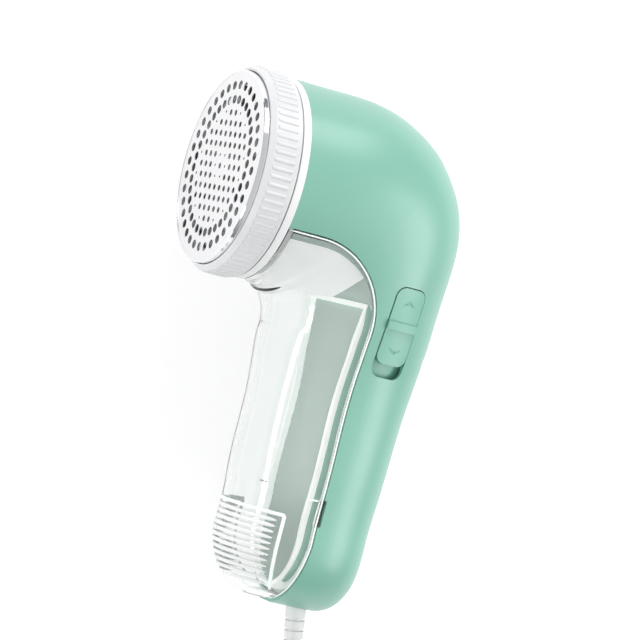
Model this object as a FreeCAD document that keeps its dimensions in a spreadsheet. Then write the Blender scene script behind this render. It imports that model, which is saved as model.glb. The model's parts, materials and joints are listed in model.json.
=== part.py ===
import FreeCAD, Part
import math
import os
import re
import Sketcher
from FreeCAD import Placement, Rotation, Vector

# A plug-in fabric shaver: a round shaving head, a curved back shell and a clear lint bin that is the
# front of the handle. It is drawn in millimetres in a drawing frame of its own: +X runs from the foil to
# the back of the head, +Y from the cord end to the head, +Z to the side with the switch, and the origin
# is where the head's axis meets the front of the foil. At the end the whole shaver is laid on its plain
# side, on the lock ring and the round end of the handle, with the floor at Z = 0.

DIMENSIONS = {
    # the head, outside
    "head_radius": 32.0,
    "ring_outer": 33.0,
    "ring_front": 1.9,
    "ring_back": 12.4,
    "ring_wall": 1.5,
    "ring_lip": 1.5,
    "ring_chamfer": 1.5,
    "rib_count": 80,
    "rib_start": 4.0,
    "rib_length": 6.6,
    "rib_proud": 0.45,
    "rib_wide": 1.3,
    "collar_gap": 0.5,
    "collar_deep": 2.5,
    "spigot_long": 4.9,
    "spigot_wall": 1.5,
    # foil
    "foil_radius": 29.9,
    "foil_front": 0.15,
    "foil_thick": 0.35,
    "bezel_front_radius": 30.6,
    "bezel_back_radius": 31.1,
    "bezel_step": 3.7,
    "bezel_back": 7.5,
    "bezel_lip": 0.7,
    "bezel_flange": 3.2,
    "ring_clear": 0.25,
    "rim_row_outer": 25.7,
    "rim_row_inner": 21.1,
    "rim_row_count": 36,
    "rim_hole": 1.4,
    "field_hole": 0.95,
    "fine_hole": 0.45,
    "hole_pitch": 3.9,
    "field_reach": 17.3,
    "fine_reach": 18.2,
    # cutter and motor
    "chamber_radius": 27.3,
    "chamber_wall": 1.0,
    "chamber_front": 6.9,
    "chamber_floor": 1.5,
    "window_high": 10.5,
    "window_wide": 24.0,
    "window_edge": 26.0,
    "blade_reach": 25.9,
    "blade_front": 1.1,
    "blade_deep": 5.0,
    "blade_thick": 0.6,
    "blade_count": 3,
    "hub_radius": 5.6,
    "hub_long": 5.2,
    "arm_wide": 4.0,
    "arm_thick": 1.8,
    "bracket_thick": 2.0,
    "bracket_radius": 24.0,
    "motor_radius": 13.0,
    "motor_long": 27.0,
    "motor_wall": 1.2,
    "cap_thick": 2.6,
    "bush_radius": 3.0,
    "shaft_radius": 1.15,
    "run_clear": 0.05,
    "air_gap": 0.5,
    "magnet_thick": 1.6,
    "damper_thick": 1.6,
    # body
    "wall": 2.0,
    "bin_wall": 1.8,
    "bend_y": 43.0,
    "handle_front": 28.4,
    "front_lean": 2.0,
    "dome_start": 38.6,
    "dome_depth": 44.0,
    "dome_drop": 40.0,
    "back_lean": 4.7,
    "handle_half": 21.0,
    "handle_end": 128.0,
    "front_corner": 16.0,
    "back_corner": 13.0,
    "seam_y": 13.5,
    "seam_x": 53.4,
    "seam_arc": 26.0,
    "seam_lean": 1.8,
    "seam_gap": 0.35,
    "bin_short": 1.0,
    "inner_clear": 0.5,
    "panel_thick": 1.8,
    "plateau_proud": 2.0,
    "seal_proud": 2.0,
    "seal_wide": 1.5,
    "seal_inset": 3.6,
    "neck_wall": 1.4,
    "neck_front_y": 33.0,
    "neck_turn_x": 38.5,
    "neck_turn_y": 30.5,
    "neck_back_x": 46.0,
    "neck_back_y": 21.3,
    "plateau_top": 30.0,
    "catch_y": 96.2,
    "catch_long": 8.5,
    "catch_wide": 2.2,
    # switch
    "slot_x": 62.4,
    "slot_y": 36.3,
    "slot_long": 29.2,
    "slot_wide": 11.6,
    "slot_round": 3.4,
    "slider_long": 25.2,
    "slider_clear": 0.35,
    "slider_travel": 4.0,
    "slider_proud": 0.3,
    "knob_long": 2.6,
    "knob_proud": 0.9,
    "board_level": 9.5,
    "board_thick": 1.6,
    "board_wide": 13.5,
    "board_long": 56.0,
    "switch_body": 5.0,
    # fastening
    "screw_radius": 1.3,
    "screw_head": 2.6,
    "boss_radius": 4.2,
    "pilot_radius": 3.0,
    # cord
    "cord_radius": 2.1,
    "relief_x": 62.7,
    "relief_turn": 10.0,
    "relief_long": 28.0,
    "relief_root": 3.3,
    "relief_tip": 2.6,
    "relief_inside": 6.0,
    "relief_flange": 5.0,
    "relief_groove": 0.7,
    "coil_mean": 24.3,
    "coil_rows": 3,
    "tie_thick": 0.8,
    "tie_wide": 6.0,
    "plug_wide": 35.3,
    "plug_high": 13.7,
    "plug_long": 33.0,
    "plug_neck": 10.0,
    "pin_radius": 2.0,
    "pin_long": 19.0,
    "pin_spacing": 18.6,
    # lock-out switch behind the ring
    "plunger_at": 28.3,
    "plunger_radius": 0.8,
    "plunger_bore": 1.05,
    "plunger_long": 13.3,
    "plunger_cap": 1.3,
    "spring_wire": 0.28,
}

doc = FreeCAD.newDocument("FabricShaver")
sheet = doc.addObject("Spreadsheet::Sheet", "Sizes")
for row, (alias, number) in enumerate(DIMENSIONS.items(), start=1):
    sheet.set(f"A{row}", alias)
    sheet.set(f"B{row}", str(number))
    sheet.setAlias(f"B{row}", alias)
doc.recompute()
D = {alias: float(sheet.get(alias)) for alias in DIMENSIONS}

X_AXIS, Y_AXIS, Z_AXIS = Vector(1, 0, 0), Vector(0, 1, 0), Vector(0, 0, 1)
ALONG_X = Rotation(Z_AXIS, X_AXIS)
ALONG_Y = Rotation(Z_AXIS, Y_AXIS)
parts = []


# ---------------------------------------------------------------- helpers

def bound(formula):
    """A formula over the sheet's aliases, in the form that setExpression reads."""
    return re.sub(r"[a-z_]+", lambda word: ("Sizes." if word.group() in D else "") + word.group(), formula)


def value(formula):
    return float(sheet.evalExpression(bound(formula)))


def keep(piece, label):
    """Name a finished sub-part; its label is its file's name."""
    piece.Label = label
    parts.append(piece)
    return piece


def primitive(kind, place, **formulas):
    """A Part primitive whose sizes follow the sheet."""
    piece = doc.addObject("Part::" + kind, kind)
    for name, formula in formulas.items():
        piece.setExpression(name, bound(formula))
    piece.Placement = place
    return piece


def at(x, y, z, rotation=Rotation()):
    return Placement(Vector(x, y, z), rotation)


def rod(start, rotation, radius, length):
    return primitive("Cylinder", Placement(start, rotation), Radius=radius, Height=length)


def block(corner, length, width, height):
    return primitive("Box", Placement(corner, Rotation()), Length=length, Width=width, Height=height)


def group(pieces, kind="Part::Compound"):
    whole = doc.addObject(kind, "Group")
    if kind == "Part::Compound":
        whole.Links = pieces
    else:
        whole.Shapes = pieces
    return whole


def fused(pieces):
    return group(pieces, "Part::MultiFuse")


def cut(base, tools):
    result = doc.addObject("Part::Cut", "Cut")
    result.Base = base
    result.Tool = tools[0] if len(tools) == 1 else group(tools)
    return result


def feature(shape):
    piece = doc.addObject("Part::Feature", "Shape")
    piece.Shape = shape
    return piece


def turned(name, profile, place=Placement()):
    """A body turned about the X axis from a closed outline of (along, radius) formulas."""
    body = doc.addObject("PartDesign::Body", name)
    sketch = body.newObject("Sketcher::SketchObject", name + "_outline")
    plane = [feature for feature in body.Origin.OriginFeatures if feature.Role == "XY_Plane"][0]
    sketch.AttachmentSupport = (plane, "")
    sketch.MapMode = "FlatFace"
    corners = [Vector(value(along), value(radius), 0) for along, radius in profile]
    last = len(corners) - 1
    for index, corner in enumerate(corners):
        sketch.addGeometry(Part.LineSegment(corner, corners[0 if index == last else index + 1]), False)
    for index in range(len(corners)):
        following = 0 if index == last else index + 1
        sketch.addConstraint(Sketcher.Constraint("Coincident", index, 2, following, 1))
    for index, (along, radius) in enumerate(profile):
        corner = corners[index]
        for kind, formula, start in (("DistanceX", along, corner.x), ("DistanceY", radius, corner.y)):
            number = sketch.addConstraint(Sketcher.Constraint(kind, -1, 1, index, 1, start))
            sketch.setExpression(f"Constraints[{number}]", bound(formula))
    turn = body.newObject("PartDesign::Revolution", name + "_turn")
    turn.Profile = sketch
    turn.ReferenceAxis = (sketch, ["H_Axis"])
    turn.Angle = 360
    body.Placement = place
    return body


def around(count, radius, phase=0.0):
    """Evenly spaced points on a circle about the head's axis, as (y, z)."""
    angles = [phase + 2 * math.pi * step / count for step in range(count)]
    return [(radius * math.cos(angle), radius * math.sin(angle)) for angle in angles]


# ---------------------------------------------------------------- the body's outer form

HEAD, HALF, BEND = D["head_radius"], D["handle_half"], D["bend_y"]
FILLET = BEND - HEAD
CORNER = Vector(D["handle_front"] - FILLET, -BEND, 0)
TURN = D["handle_end"] - HALF
BODY_FRONT = D["ring_back"] + D["collar_gap"] + D["collar_deep"]
OVAL = 2.25
SECTION_POINTS = 32
BEND_STEPS = 9
TAPER_START, TAPER_SPAN, TAPER_RUN = 0.12, 1.3, 45.0
LEAN_TOP, LEAN_RUN = 5.0, 120.0
END_LEVELS = (0.25, 0.45, 0.62, 0.76, 0.87, 0.94, 0.98)
END_POWER = 2.6


def smooth(share):
    share = min(max(share, 0.0), 1.0)
    return share * share * (3 - 2 * share)


def back_x(y):
    """The spine's X at a height: a quarter oval over the head, then a gently leaning back."""
    rise = min(max((y + D["dome_drop"] - HEAD) / D["dome_drop"], 0.0), 1.0)
    dome = D["dome_start"] + D["dome_depth"] * math.sqrt(1 - rise ** 2)
    return dome - D["back_lean"] * smooth((LEAN_TOP - y) / LEAN_RUN)


def half_width(progress):
    """Half the body's width: the head's radius, easing down to the handle's past the bend."""
    return HALF + (HEAD - HALF) * (1 - smooth((progress - TAPER_START) / TAPER_SPAN))


def section(inner, outer, half, power):
    """A closed oval through two points of the middle plane, a superellipse of the given power."""
    middle, reach = (inner + outer) * 0.5, (outer - inner) * 0.5
    points = []
    for step in range(SECTION_POINTS):
        turn = 2 * math.pi * step / SECTION_POINTS
        along, across = math.cos(turn), math.sin(turn)
        points.append(middle + reach * math.copysign(abs(along) ** (2 / power), along)
                      + Vector(0, 0, half * math.copysign(abs(across) ** (2 / power), across)))
    curve = Part.BSplineCurve()
    knots = [float(step) for step in range(SECTION_POINTS + 1)]
    curve.interpolate(Points=points, PeriodicFlag=True, Parameters=knots)
    return Part.Wire([curve.toShape()])


def reach_to_outline(direction):
    """How far the outer line is from the bend's corner, found by halving."""
    near, far = HEAD / 2, 4 * HEAD
    for _ in range(50):
        middle = (near + far) / 2
        point = CORNER + direction * middle
        if point.y > HEAD or point.x > back_x(point.y):
            far = middle
        else:
            near = middle
    return near


def body_form(inset, start=BODY_FRONT, short=0.0):
    """The whole body, head to cord end, drawn in by inset; the end can stop short."""
    sections = [section(Vector(x, inset - HEAD, 0), Vector(x, HEAD - inset, 0), HEAD - inset, 2.0)
                for x in (start, CORNER.x)]
    for step in range(1, BEND_STEPS + 1):
        share = step / BEND_STEPS
        direction = Vector(math.sin(share * math.pi / 2), math.cos(share * math.pi / 2), 0)
        sections.append(section(CORNER + direction * (FILLET + inset),
                                CORNER + direction * (reach_to_outline(direction) - inset),
                                half_width(share) - inset, 2 + (OVAL - 2) * share))
    handle_steps = 4
    front = D["handle_front"]
    for step in range(1, handle_steps + 1):
        y = -BEND - (TURN - BEND) * step / handle_steps
        front = D["handle_front"] + D["front_lean"] * step / handle_steps
        sections.append(section(Vector(front + inset, y, 0), Vector(back_x(y) - inset, y, 0),
                                half_width(1 + (-BEND - y) / TAPER_RUN) - inset, OVAL))
    for level in END_LEVELS:
        y = -TURN - (HALF - inset - short) * level
        round_off = math.sqrt(1 - level ** 2)
        corner = 1 - (1 - level ** END_POWER) ** (1 / END_POWER)
        sections.append(section(Vector(front + inset + D["front_corner"] * (1 - round_off), y, 0),
                                Vector(back_x(-TURN) - inset - D["back_corner"] * corner, y, 0),
                                (HALF - inset) * round_off, OVAL))
    half_bend, bend = 1 + BEND_STEPS // 2, 1 + BEND_STEPS
    lofts = [Part.makeLoft(sections[:half_bend + 1], True), Part.makeLoft(sections[half_bend:bend + 1], True),
             Part.makeLoft(sections[bend:], True)]
    return lofts[0].fuse(lofts[1:])


FAR = 8 * HEAD
OPEN_START = BODY_FRONT - 1.4
OUTSIDE = body_form(0)
BIN_OUTSIDE = body_form(0, short=D["bin_short"])


def side_region(points_and_arcs):
    """A slab of the side view, deep enough to cut right across the body."""
    face = Part.Face(Part.Wire(points_and_arcs))
    face.translate(Vector(0, 0, -FAR / 2))
    return face.extrude(Vector(0, 0, FAR))


def seam_region(shift):
    """The side view's bin region, grown toward the back shell by shift."""
    y, x, arc = -D["seam_y"] + shift, D["seam_x"] + shift, D["seam_arc"]
    middle = Vector(x - arc, y - arc, 0)
    lean_y = -TURN
    low = -D["handle_end"]
    path = [Vector(0, y, 0), Vector(x - arc, y, 0), Vector(x, y - arc, 0), Vector(x, lean_y, 0),
            Vector(x - D["seam_lean"], low, 0), Vector(x - D["seam_lean"], -FAR, 0), Vector(0, -FAR, 0)]
    edges = [Part.LineSegment(path[0], path[1]).toShape(),
             Part.Arc(path[1], middle + Vector(arc, arc, 0) * math.sqrt(0.5), path[2]).toShape()]
    edges += [Part.LineSegment(a, b).toShape() for a, b in zip(path[2:], path[3:] + path[:1])]
    return side_region(edges)


def slab(x0, x1, y0=-FAR, y1=FAR, z0=-FAR, z1=FAR):
    return Part.makeBox(x1 - x0, y1 - y0, z1 - z0, Vector(x0, y0, z0))


def cylinder(point, direction, radius, length):
    return Part.makeCylinder(radius, length, point, direction)


# ---------------------------------------------------------------- shaving head

CHAMBER_BACK = "ring_back + collar_gap + collar_deep"
PLUNGER = Vector(D["bezel_back"] + 0.3, D["plunger_at"], 0)


def foil():
    disc = rod(Vector(D["foil_front"], 0, 0), ALONG_X, "foil_radius", "foil_thick")
    holes = []
    turn = math.pi / D["rim_row_count"]
    for radius, phase in ((D["rim_row_outer"], 0.0), (D["rim_row_inner"], turn)):
        holes += [(y, z, "rim_hole") for y, z in around(int(D["rim_row_count"]), radius, phase)]
    pitch, row_pitch = D["hole_pitch"], D["hole_pitch"] * math.sqrt(3) / 2
    rows = int(D["fine_reach"] / row_pitch)
    for row in range(-rows, rows + 1):
        for column in range(-rows, rows + 1):
            y, z = row * row_pitch, (column + (row % 2) / 2) * pitch
            distance = math.hypot(y, z)
            near_middle = 0.5 * pitch < distance < 1.2 * pitch
            if distance < D["field_reach"] and not near_middle:
                holes.append((y, z, "field_hole"))
            elif distance < D["fine_reach"]:
                holes.append((y, z, "fine_hole"))
    depth = 4 * D["foil_thick"]
    tools = [cylinder(Vector(-D["foil_thick"], y, z), X_AXIS, D[size], depth) for y, z, size in holes]
    keep(cut(disc, [feature(Part.makeCompound(tools))]), "foil")


def foil_bezel():
    shoulder = "foil_front + foil_thick"
    keep(turned("foil_bezel", [
        ("0", "foil_radius"), ("0", "bezel_front_radius - 0.2"), ("0.25", "bezel_front_radius"),
        ("bezel_step", "bezel_front_radius"), ("bezel_step", "bezel_back_radius"),
        ("bezel_back", "bezel_back_radius"), ("bezel_back", "bezel_back_radius - bezel_flange"),
        ("bezel_back - 1", "bezel_back_radius - bezel_flange"), ("bezel_back - 1", "foil_radius - bezel_lip"),
        (shoulder, "foil_radius - bezel_lip"), (shoulder, "foil_radius")]), "foil_bezel")


def lock_ring():
    lip = "bezel_front_radius + ring_clear"
    bore = "ring_outer - ring_wall"
    ring = turned("lock_ring_wall", [
        ("ring_front", lip), ("ring_front", "ring_outer - ring_chamfer"),
        ("ring_front + ring_chamfer", "ring_outer - rib_proud"), ("ring_back - 0.4", "ring_outer - rib_proud"),
        ("ring_back", "ring_outer - rib_proud - 0.4"), ("ring_back", bore),
        ("ring_front + ring_lip", bore), ("ring_front + ring_lip", lip)])
    count = int(D["rib_count"])
    ribs = []
    for step in range(count):
        rib = Part.makeCylinder(D["rib_wide"] / 2, D["rib_length"], Vector(D["rib_start"], 0, 0), X_AXIS)
        rib.translate(Vector(0, D["ring_outer"] - D["rib_wide"] / 2, 0))
        rib.rotate(Vector(), X_AXIS, 360 * step / count)
        ribs.append(rib)
    keep(fused([ring, feature(Part.makeCompound(ribs))]), "lock_ring")


def head_collar():
    front = "ring_back + collar_gap"
    back = front + " + collar_deep"
    spigot = "bezel_back_radius - 0.2"
    body = turned("collar_body", [
        (front + " - spigot_long", spigot + " - spigot_wall"), (front + " - spigot_long", spigot),
        (front, spigot), (front, "head_radius"), (back, "head_radius"), (back, "head_radius - wall - 0.3"),
        (back + " + 2.6", "head_radius - wall - 0.3"), (back + " + 2.6", "head_radius - wall - 1.5"),
        (back, "head_radius - wall - 1.5"), (back, "chamber_radius + 0.3"), (front, "chamber_radius + 0.3"),
        (front, spigot + " - spigot_wall")])
    pocket = Vector(BODY_FRONT, PLUNGER.y, 0)
    keep(cut(body, [rod(PLUNGER, ALONG_X, "plunger_bore", "4 * collar_deep"),
                    rod(pocket, ALONG_X, "plunger_cap + 0.25", "2 * collar_deep")]), "head_collar")


def blade_chamber():
    back = BODY_FRONT
    cup = turned("chamber_cup", [
        ("chamber_front", "chamber_radius - chamber_wall"), ("chamber_front", "chamber_radius"),
        (CHAMBER_BACK, "chamber_radius"), (CHAMBER_BACK, "bush_radius + 0.3"),
        (CHAMBER_BACK + " - chamber_floor", "bush_radius + 0.3"),
        (CHAMBER_BACK + " - chamber_floor", "chamber_radius - chamber_wall")])
    keep(cut(cup, [lint_window(back)]), "blade_chamber")


def lint_window(back):
    return block(Vector(back - 3, -D["window_edge"], -D["window_wide"] / 2), "6", "window_high", "window_wide")


# ---------------------------------------------------------------- cutter and motor

MOTOR_FRONT = BODY_FRONT + D["bracket_thick"]
MOTOR_BACK = MOTOR_FRONT + D["motor_long"]
FRONT = "ring_back + collar_gap + collar_deep + bracket_thick"
BACK = FRONT + " + motor_long"
BLADE_BACK = D["blade_front"] + D["blade_deep"]


def cutter():
    blades, arms = [], []
    count = int(D["blade_count"])
    for step in range(count):
        turn = Rotation(X_AXIS, 360 * step / count)
        blade = block(Vector(), "blade_deep", "blade_reach - hub_radius", "blade_thick")
        corner = Vector(D["blade_front"], D["hub_radius"], -D["blade_thick"] / 2)
        blade.Placement = Placement(turn.multVec(corner), turn)
        blades.append(blade)
        arm = block(Vector(), "arm_thick", "blade_reach - hub_radius", "arm_wide")
        corner = Vector(BLADE_BACK, D["hub_radius"] - 1, -D["arm_wide"] / 2)
        arm.Placement = Placement(turn.multVec(corner), turn)
        arms.append(arm)
    keep(group(blades), "blades")
    hub = turned("hub", [(str(BLADE_BACK), "shaft_radius"), (str(BLADE_BACK), "hub_radius"),
                         (f"{BLADE_BACK} + hub_long", "hub_radius"),
                         (f"{BLADE_BACK} + hub_long", "shaft_radius")])
    keep(fused([hub] + arms), "blade_holder")
    rings = []
    spring_start, turns = BLADE_BACK + D["hub_long"], 4
    pitch = (BODY_FRONT + 0.8 - spring_start) / turns
    for step in range(turns):
        ring = primitive("Torus", at(spring_start + pitch * (step + 0.5), 0, 0, ALONG_X),
                         Radius1="shaft_radius + 4 * spring_wire", Radius2="spring_wire")
        rings.append(ring)
    keep(group(rings), "hub_spring")


def motor():
    keep(turned("motor_can", [
        (FRONT, "bush_radius"), (FRONT, "motor_radius"), (BACK, "motor_radius"),
        (BACK, "motor_radius - motor_wall"), (FRONT + " + motor_wall", "motor_radius - motor_wall"),
        (FRONT + " + motor_wall", "bush_radius")]), "motor_can")
    keep(turned("motor_end_cap", [
        (BACK, "bush_radius"), (BACK, "motor_radius"), (BACK + " + cap_thick", "motor_radius - 0.8"),
        (BACK + " + cap_thick", "bush_radius")]), "motor_end_cap")
    bushes = [turned(f"bush_{name}", [(start, "shaft_radius + run_clear"), (start, "bush_radius"),
                                      (end, "bush_radius"), (end, "shaft_radius + run_clear")])
              for name, start, end in (("front", FRONT + " - 1", FRONT + " + 2.4"),
                                       ("rear", BACK + " - 0.4", BACK + " + cap_thick"))]
    keep(bushes[0], "front_bush")
    keep(bushes[1], "rear_bush")
    shaft_start = BLADE_BACK - 1.0
    keep(turned("shaft", [(str(shaft_start), "0"), (str(shaft_start), "shaft_radius"),
                          (BACK + " + cap_thick + 1", "shaft_radius"), (BACK + " + cap_thick + 1", "0")]),
         "motor_shaft")
    core_radius = "motor_radius - motor_wall - magnet_thick - air_gap"
    core = turned("core", [(FRONT + " + 4", "shaft_radius"), (FRONT + " + 4", core_radius),
                           (FRONT + " + 18", core_radius), (FRONT + " + 18", "shaft_radius")])
    slots = []
    for step in range(3):
        slot = block(Vector(), "motor_long", "motor_radius", "1.6")
        turn = Rotation(X_AXIS, 120 * step)
        slot.Placement = Placement(turn.multVec(Vector(MOTOR_FRONT, 5.4, -0.8)), turn)
        slots.append(slot)
    keep(cut(core, slots), "armature")
    keep(turned("commutator_body", [(FRONT + " + 20", "shaft_radius"), (FRONT + " + 20", "4"),
                                    (FRONT + " + 25", "4"), (FRONT + " + 25", "shaft_radius")]), "commutator")
    near, far = "motor_radius - motor_wall - magnet_thick", "motor_radius - motor_wall"
    shell = turned("magnet_ring", [(FRONT + " + 2.6", near), (FRONT + " + 2.6", far),
                                   (FRONT + " + 20", far), (FRONT + " + 20", near)])
    gap = block(Vector(MOTOR_FRONT, -FAR / 4, -4), "motor_long", str(FAR / 2), "8")
    keep(cut(shell, [gap]), "motor_magnets")
    brushes = [block(Vector(MOTOR_FRONT + 21.2, y, -1.2), "2.6", "4.6", "2.4") for y in (4.3, -8.9)]
    keep(group(brushes), "motor_brushes")
    sleeve = "motor_radius + damper_thick"
    keep(turned("damper", [(FRONT + " + 19", "motor_radius"), (FRONT + " + 19", sleeve),
                           (FRONT + " + 25", sleeve), (FRONT + " + 25", "motor_radius")]), "motor_damper")
    cradle = body_form(D["wall"] + 0.05, OPEN_START).common(slab(MOTOR_FRONT + 20, MOTOR_FRONT + 23.5, -14.2))
    bore = cylinder(Vector(MOTOR_FRONT, 0, 0), X_AXIS, D["motor_radius"] + D["damper_thick"], D["motor_long"])
    windows = [slab(MOTOR_FRONT, MOTOR_BACK, 17, 25, -9, 9), slab(MOTOR_FRONT, MOTOR_BACK, -6, 6, 18, 25),
               slab(MOTOR_FRONT, MOTOR_BACK, -6, 6, -25, -18)]
    keep(feature(cradle.cut([bore] + windows)), "motor_cradle")


def bracket():
    plate = turned("bracket_plate", [(CHAMBER_BACK, "bush_radius + 0.3"), (CHAMBER_BACK, "bracket_radius"),
                                     (FRONT, "bracket_radius"), (FRONT, "bush_radius + 0.3")])
    screws, holes = [], []
    for y, z in around(3, 19.0):
        holes.append(rod(Vector(BODY_FRONT - 3, y, z), ALONG_X, "screw_radius", "bracket_thick + 6"))
        head = rod(Vector(MOTOR_FRONT, y, z), ALONG_X, "screw_head", "1.6")
        shank = rod(Vector(BODY_FRONT, y, z), ALONG_X, "screw_radius", "bracket_thick")
        screws.append(fused([head, shank]))
    keep(cut(plate, [lint_window(BODY_FRONT + 2)] + holes), "motor_bracket")
    keep(group(screws), "bracket_screws")


# ---------------------------------------------------------------- body shells

SCREW_INSETS = ((14.0, 11.4), (-28.0, 6.3), (-66.0, 6.4), (-103.0, 6.4))
SCREW_PLACES = [(back_x(y) - inset, y) for y, inset in SCREW_INSETS]
SCREW_SEAT = 5.0
BOARD_POSTS = ((60.5, -60.0), (60.5, -88.0))


def relief_frame():
    """Where the strain relief's inner end is, and its direction."""
    turn = math.radians(D["relief_turn"])
    direction = Vector(math.sin(turn), -math.cos(turn), 0)
    mouth = Vector(D["relief_x"], -D["handle_end"], 0)
    return mouth - direction * D["relief_inside"], direction


def slot_prism(grow, x_shift=0.0, long=D["slot_long"], centre_y=-D["slot_y"], low=0.0, high=FAR):
    """The switch's rounded slot, grown all round, as an upright prism."""
    wide, tall = D["slot_wide"] / 2 + grow, long / 2 + grow
    radius = D["slot_round"] + grow
    x, y = D["slot_x"] + x_shift, centre_y
    bars = [slab(x - wide, x + wide, y - tall + radius, y + tall - radius, low, high),
            slab(x - wide + radius, x + wide - radius, y - tall, y + tall, low, high)]
    corners = [cylinder(Vector(x + i * (wide - radius), y + j * (tall - radius), low),
                        Z_AXIS, radius, high - low)
               for i in (-1, 1) for j in (-1, 1)]
    return bars[0].fuse(bars[1:] + corners).removeSplitter()


def catch_notches():
    x0 = D["seam_x"] - D["catch_wide"] / 2 - 0.2
    y0 = -D["catch_y"] - D["catch_long"] / 2
    return [slab(x0, x0 + D["catch_wide"], y0, y0 + D["catch_long"], *span)
            for span in ((HALF - 4.4, FAR), (-FAR, 4.4 - HALF))]


def housings():
    inside = body_form(D["wall"], OPEN_START)
    bin_side = seam_region(0)
    neck, direction = relief_frame()
    relief_bore = cylinder(neck, direction, D["relief_root"] + 0.05, D["relief_inside"] + 4)
    hollow = OUTSIDE.cut([inside, bin_side, relief_bore] + catch_notches())
    up, down = slab(0, FAR, -FAR, FAR, 0, FAR), slab(0, FAR, -FAR, FAR, -FAR, 0)
    pilots = [cylinder(Vector(x, y, 0), Z_AXIS, D["pilot_radius"], FAR / 4) for x, y in SCREW_PLACES]
    level = D["board_level"] + D["board_thick"]
    pilots += [cylinder(Vector(x, y, level), Z_AXIS, D["pilot_radius"] - 0.6, FAR / 4) for x, y in BOARD_POSTS]
    posts = pilots[0].fuse(pilots[1:]).common(OUTSIDE)
    pilot_bores = [cylinder(Vector(x, y, -1), Z_AXIS, D["screw_radius"], 9) for x, y in SCREW_PLACES]
    pilot_bores += [cylinder(Vector(x, y, level - 1), Z_AXIS, 1.0, 5) for x, y in BOARD_POSTS]
    switch_side = hollow.common(up).fuse(posts).cut(pilot_bores + [slot_prism(0)])
    keep(feature(switch_side), "housing_switch_side")
    bosses = [cylinder(Vector(x, y, 0), -Z_AXIS, D["boss_radius"], FAR / 4) for x, y in SCREW_PLACES]
    bosses = bosses[0].fuse(bosses[1:]).common(OUTSIDE)
    bores = [cylinder(Vector(x, y, 1), -Z_AXIS, D["screw_radius"] + 0.15, FAR / 4) for x, y in SCREW_PLACES]
    bores += [cylinder(Vector(x, y, -SCREW_SEAT), -Z_AXIS, D["screw_head"] + 0.3, FAR / 4)
              for x, y in SCREW_PLACES]
    keep(feature(hollow.common(down).fuse(bosses).cut(bores)), "housing_plain_side")


def housing_screws():
    screws = []
    for x, y in SCREW_PLACES:
        shank = rod(Vector(x, y, -SCREW_SEAT), Rotation(), "screw_radius", str(SCREW_SEAT + 7))
        head = rod(Vector(x, y, -SCREW_SEAT - 2), Rotation(), "screw_head", "2")
        cross = block(Vector(x - 1.6, y - 0.4, -SCREW_SEAT - 2.1), "3.2", "0.8", "1")
        screws.append(cut(fused([shank, head]), [cross]))
    keep(group(screws), "housing_screws")


def lint_bin():
    inside = body_form(D["bin_wall"], OPEN_START, D["bin_short"])
    form = BIN_OUTSIDE.common(seam_region(-D["seam_gap"]))
    front = slab(0, BODY_FRONT + D["seam_gap"])
    keep(feature(form.cut([inside, front] + catch_notches())), "lint_bin")


def bin_back():
    """The panel between the bin and the works: a roof that bends down into a flat partition."""
    inset = D["bin_wall"] + D["inner_clear"]
    arc = D["seam_arc"] + 0.4
    x, y = D["seam_x"] + D["panel_thick"] + 0.2, -D["seam_y"] - 1.0
    centre = Vector(x - arc, y - arc, 0)

    def bent(radius):
        top, side = Vector(centre.x, centre.y + radius, 0), Vector(centre.x + radius, centre.y, 0)
        crown = centre + Vector(radius, radius, 0) * math.sqrt(0.5)
        start, end = Vector(0, top.y, 0), Vector(side.x, -FAR, 0)
        edges = [Part.LineSegment(start, top).toShape(), Part.Arc(top, crown, side).toShape(),
                 Part.LineSegment(side, end).toShape(), Part.LineSegment(end, Vector(0, -FAR, 0)).toShape(),
                 Part.LineSegment(Vector(0, -FAR, 0), start).toShape()]
        return side_region(edges)

    shape = body_form(inset, OPEN_START, D["bin_short"])
    behind = BODY_FRONT + 3.0
    strip = bent(arc).cut(bent(arc - D["panel_thick"])).common(slab(behind, FAR))
    panel = shape.common(strip)
    panel_front = x - D["panel_thick"]
    top = -D["plateau_top"]
    inner = body_form(D["seal_inset"] + D["seal_wide"], OPEN_START, D["bin_short"])
    raised = panel_front - D["plateau_proud"]
    plateau = inner.common(slab(raised, panel_front + 0.1, -FAR, top - D["seal_wide"]))
    keep(feature(panel.fuse(plateau.common(bent(arc))).removeSplitter()), "bin_partition")
    rim = body_form(D["seal_inset"], OPEN_START, D["bin_short"]).common(
        slab(raised - D["seal_proud"], panel_front, -FAR, top))
    core = inner.common(slab(0, FAR, -FAR, top - D["seal_wide"]))
    keep(feature(rim.cut([core, strip])), "bin_seal")
    low = [Vector(0, -D["neck_front_y"], 0), Vector(D["neck_turn_x"], -D["neck_turn_y"], 0),
           Vector(D["neck_back_x"], -D["neck_back_y"], 0), Vector(FAR, -D["neck_back_y"], 0),
           Vector(FAR, -FAR, 0), Vector(0, -FAR, 0)]
    below = side_region([Part.LineSegment(a, b).toShape() for a, b in zip(low, low[1:] + low[:1])])
    neck = shape.cut(body_form(inset + D["neck_wall"], OPEN_START - 1))
    roof = bent(arc - D["panel_thick"])
    neck = neck.common(roof).common(slab(behind, raised - D["seal_proud"] - 1.0)).cut(below)
    keep(feature(neck), "lint_neck")


def bin_catches():
    """Two small spring clips in the seam's notches, as thin as the gap beside the panel."""
    low, high = -D["catch_y"] - D["catch_long"] / 2, -D["catch_y"] + D["catch_long"] / 2
    reach = slab(D["seam_x"] - 0.6, D["seam_x"] + D["catch_wide"] / 2 - 0.2, low + 0.4, high - 0.4)
    skin = body_form(D["wall"] - 0.6, OPEN_START).cut(body_form(D["wall"] + 0.15, OPEN_START - 1))
    keep(feature(skin.common(reach).common(slab(0, FAR))), "bin_catches")


# ---------------------------------------------------------------- switch and electrics

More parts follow.
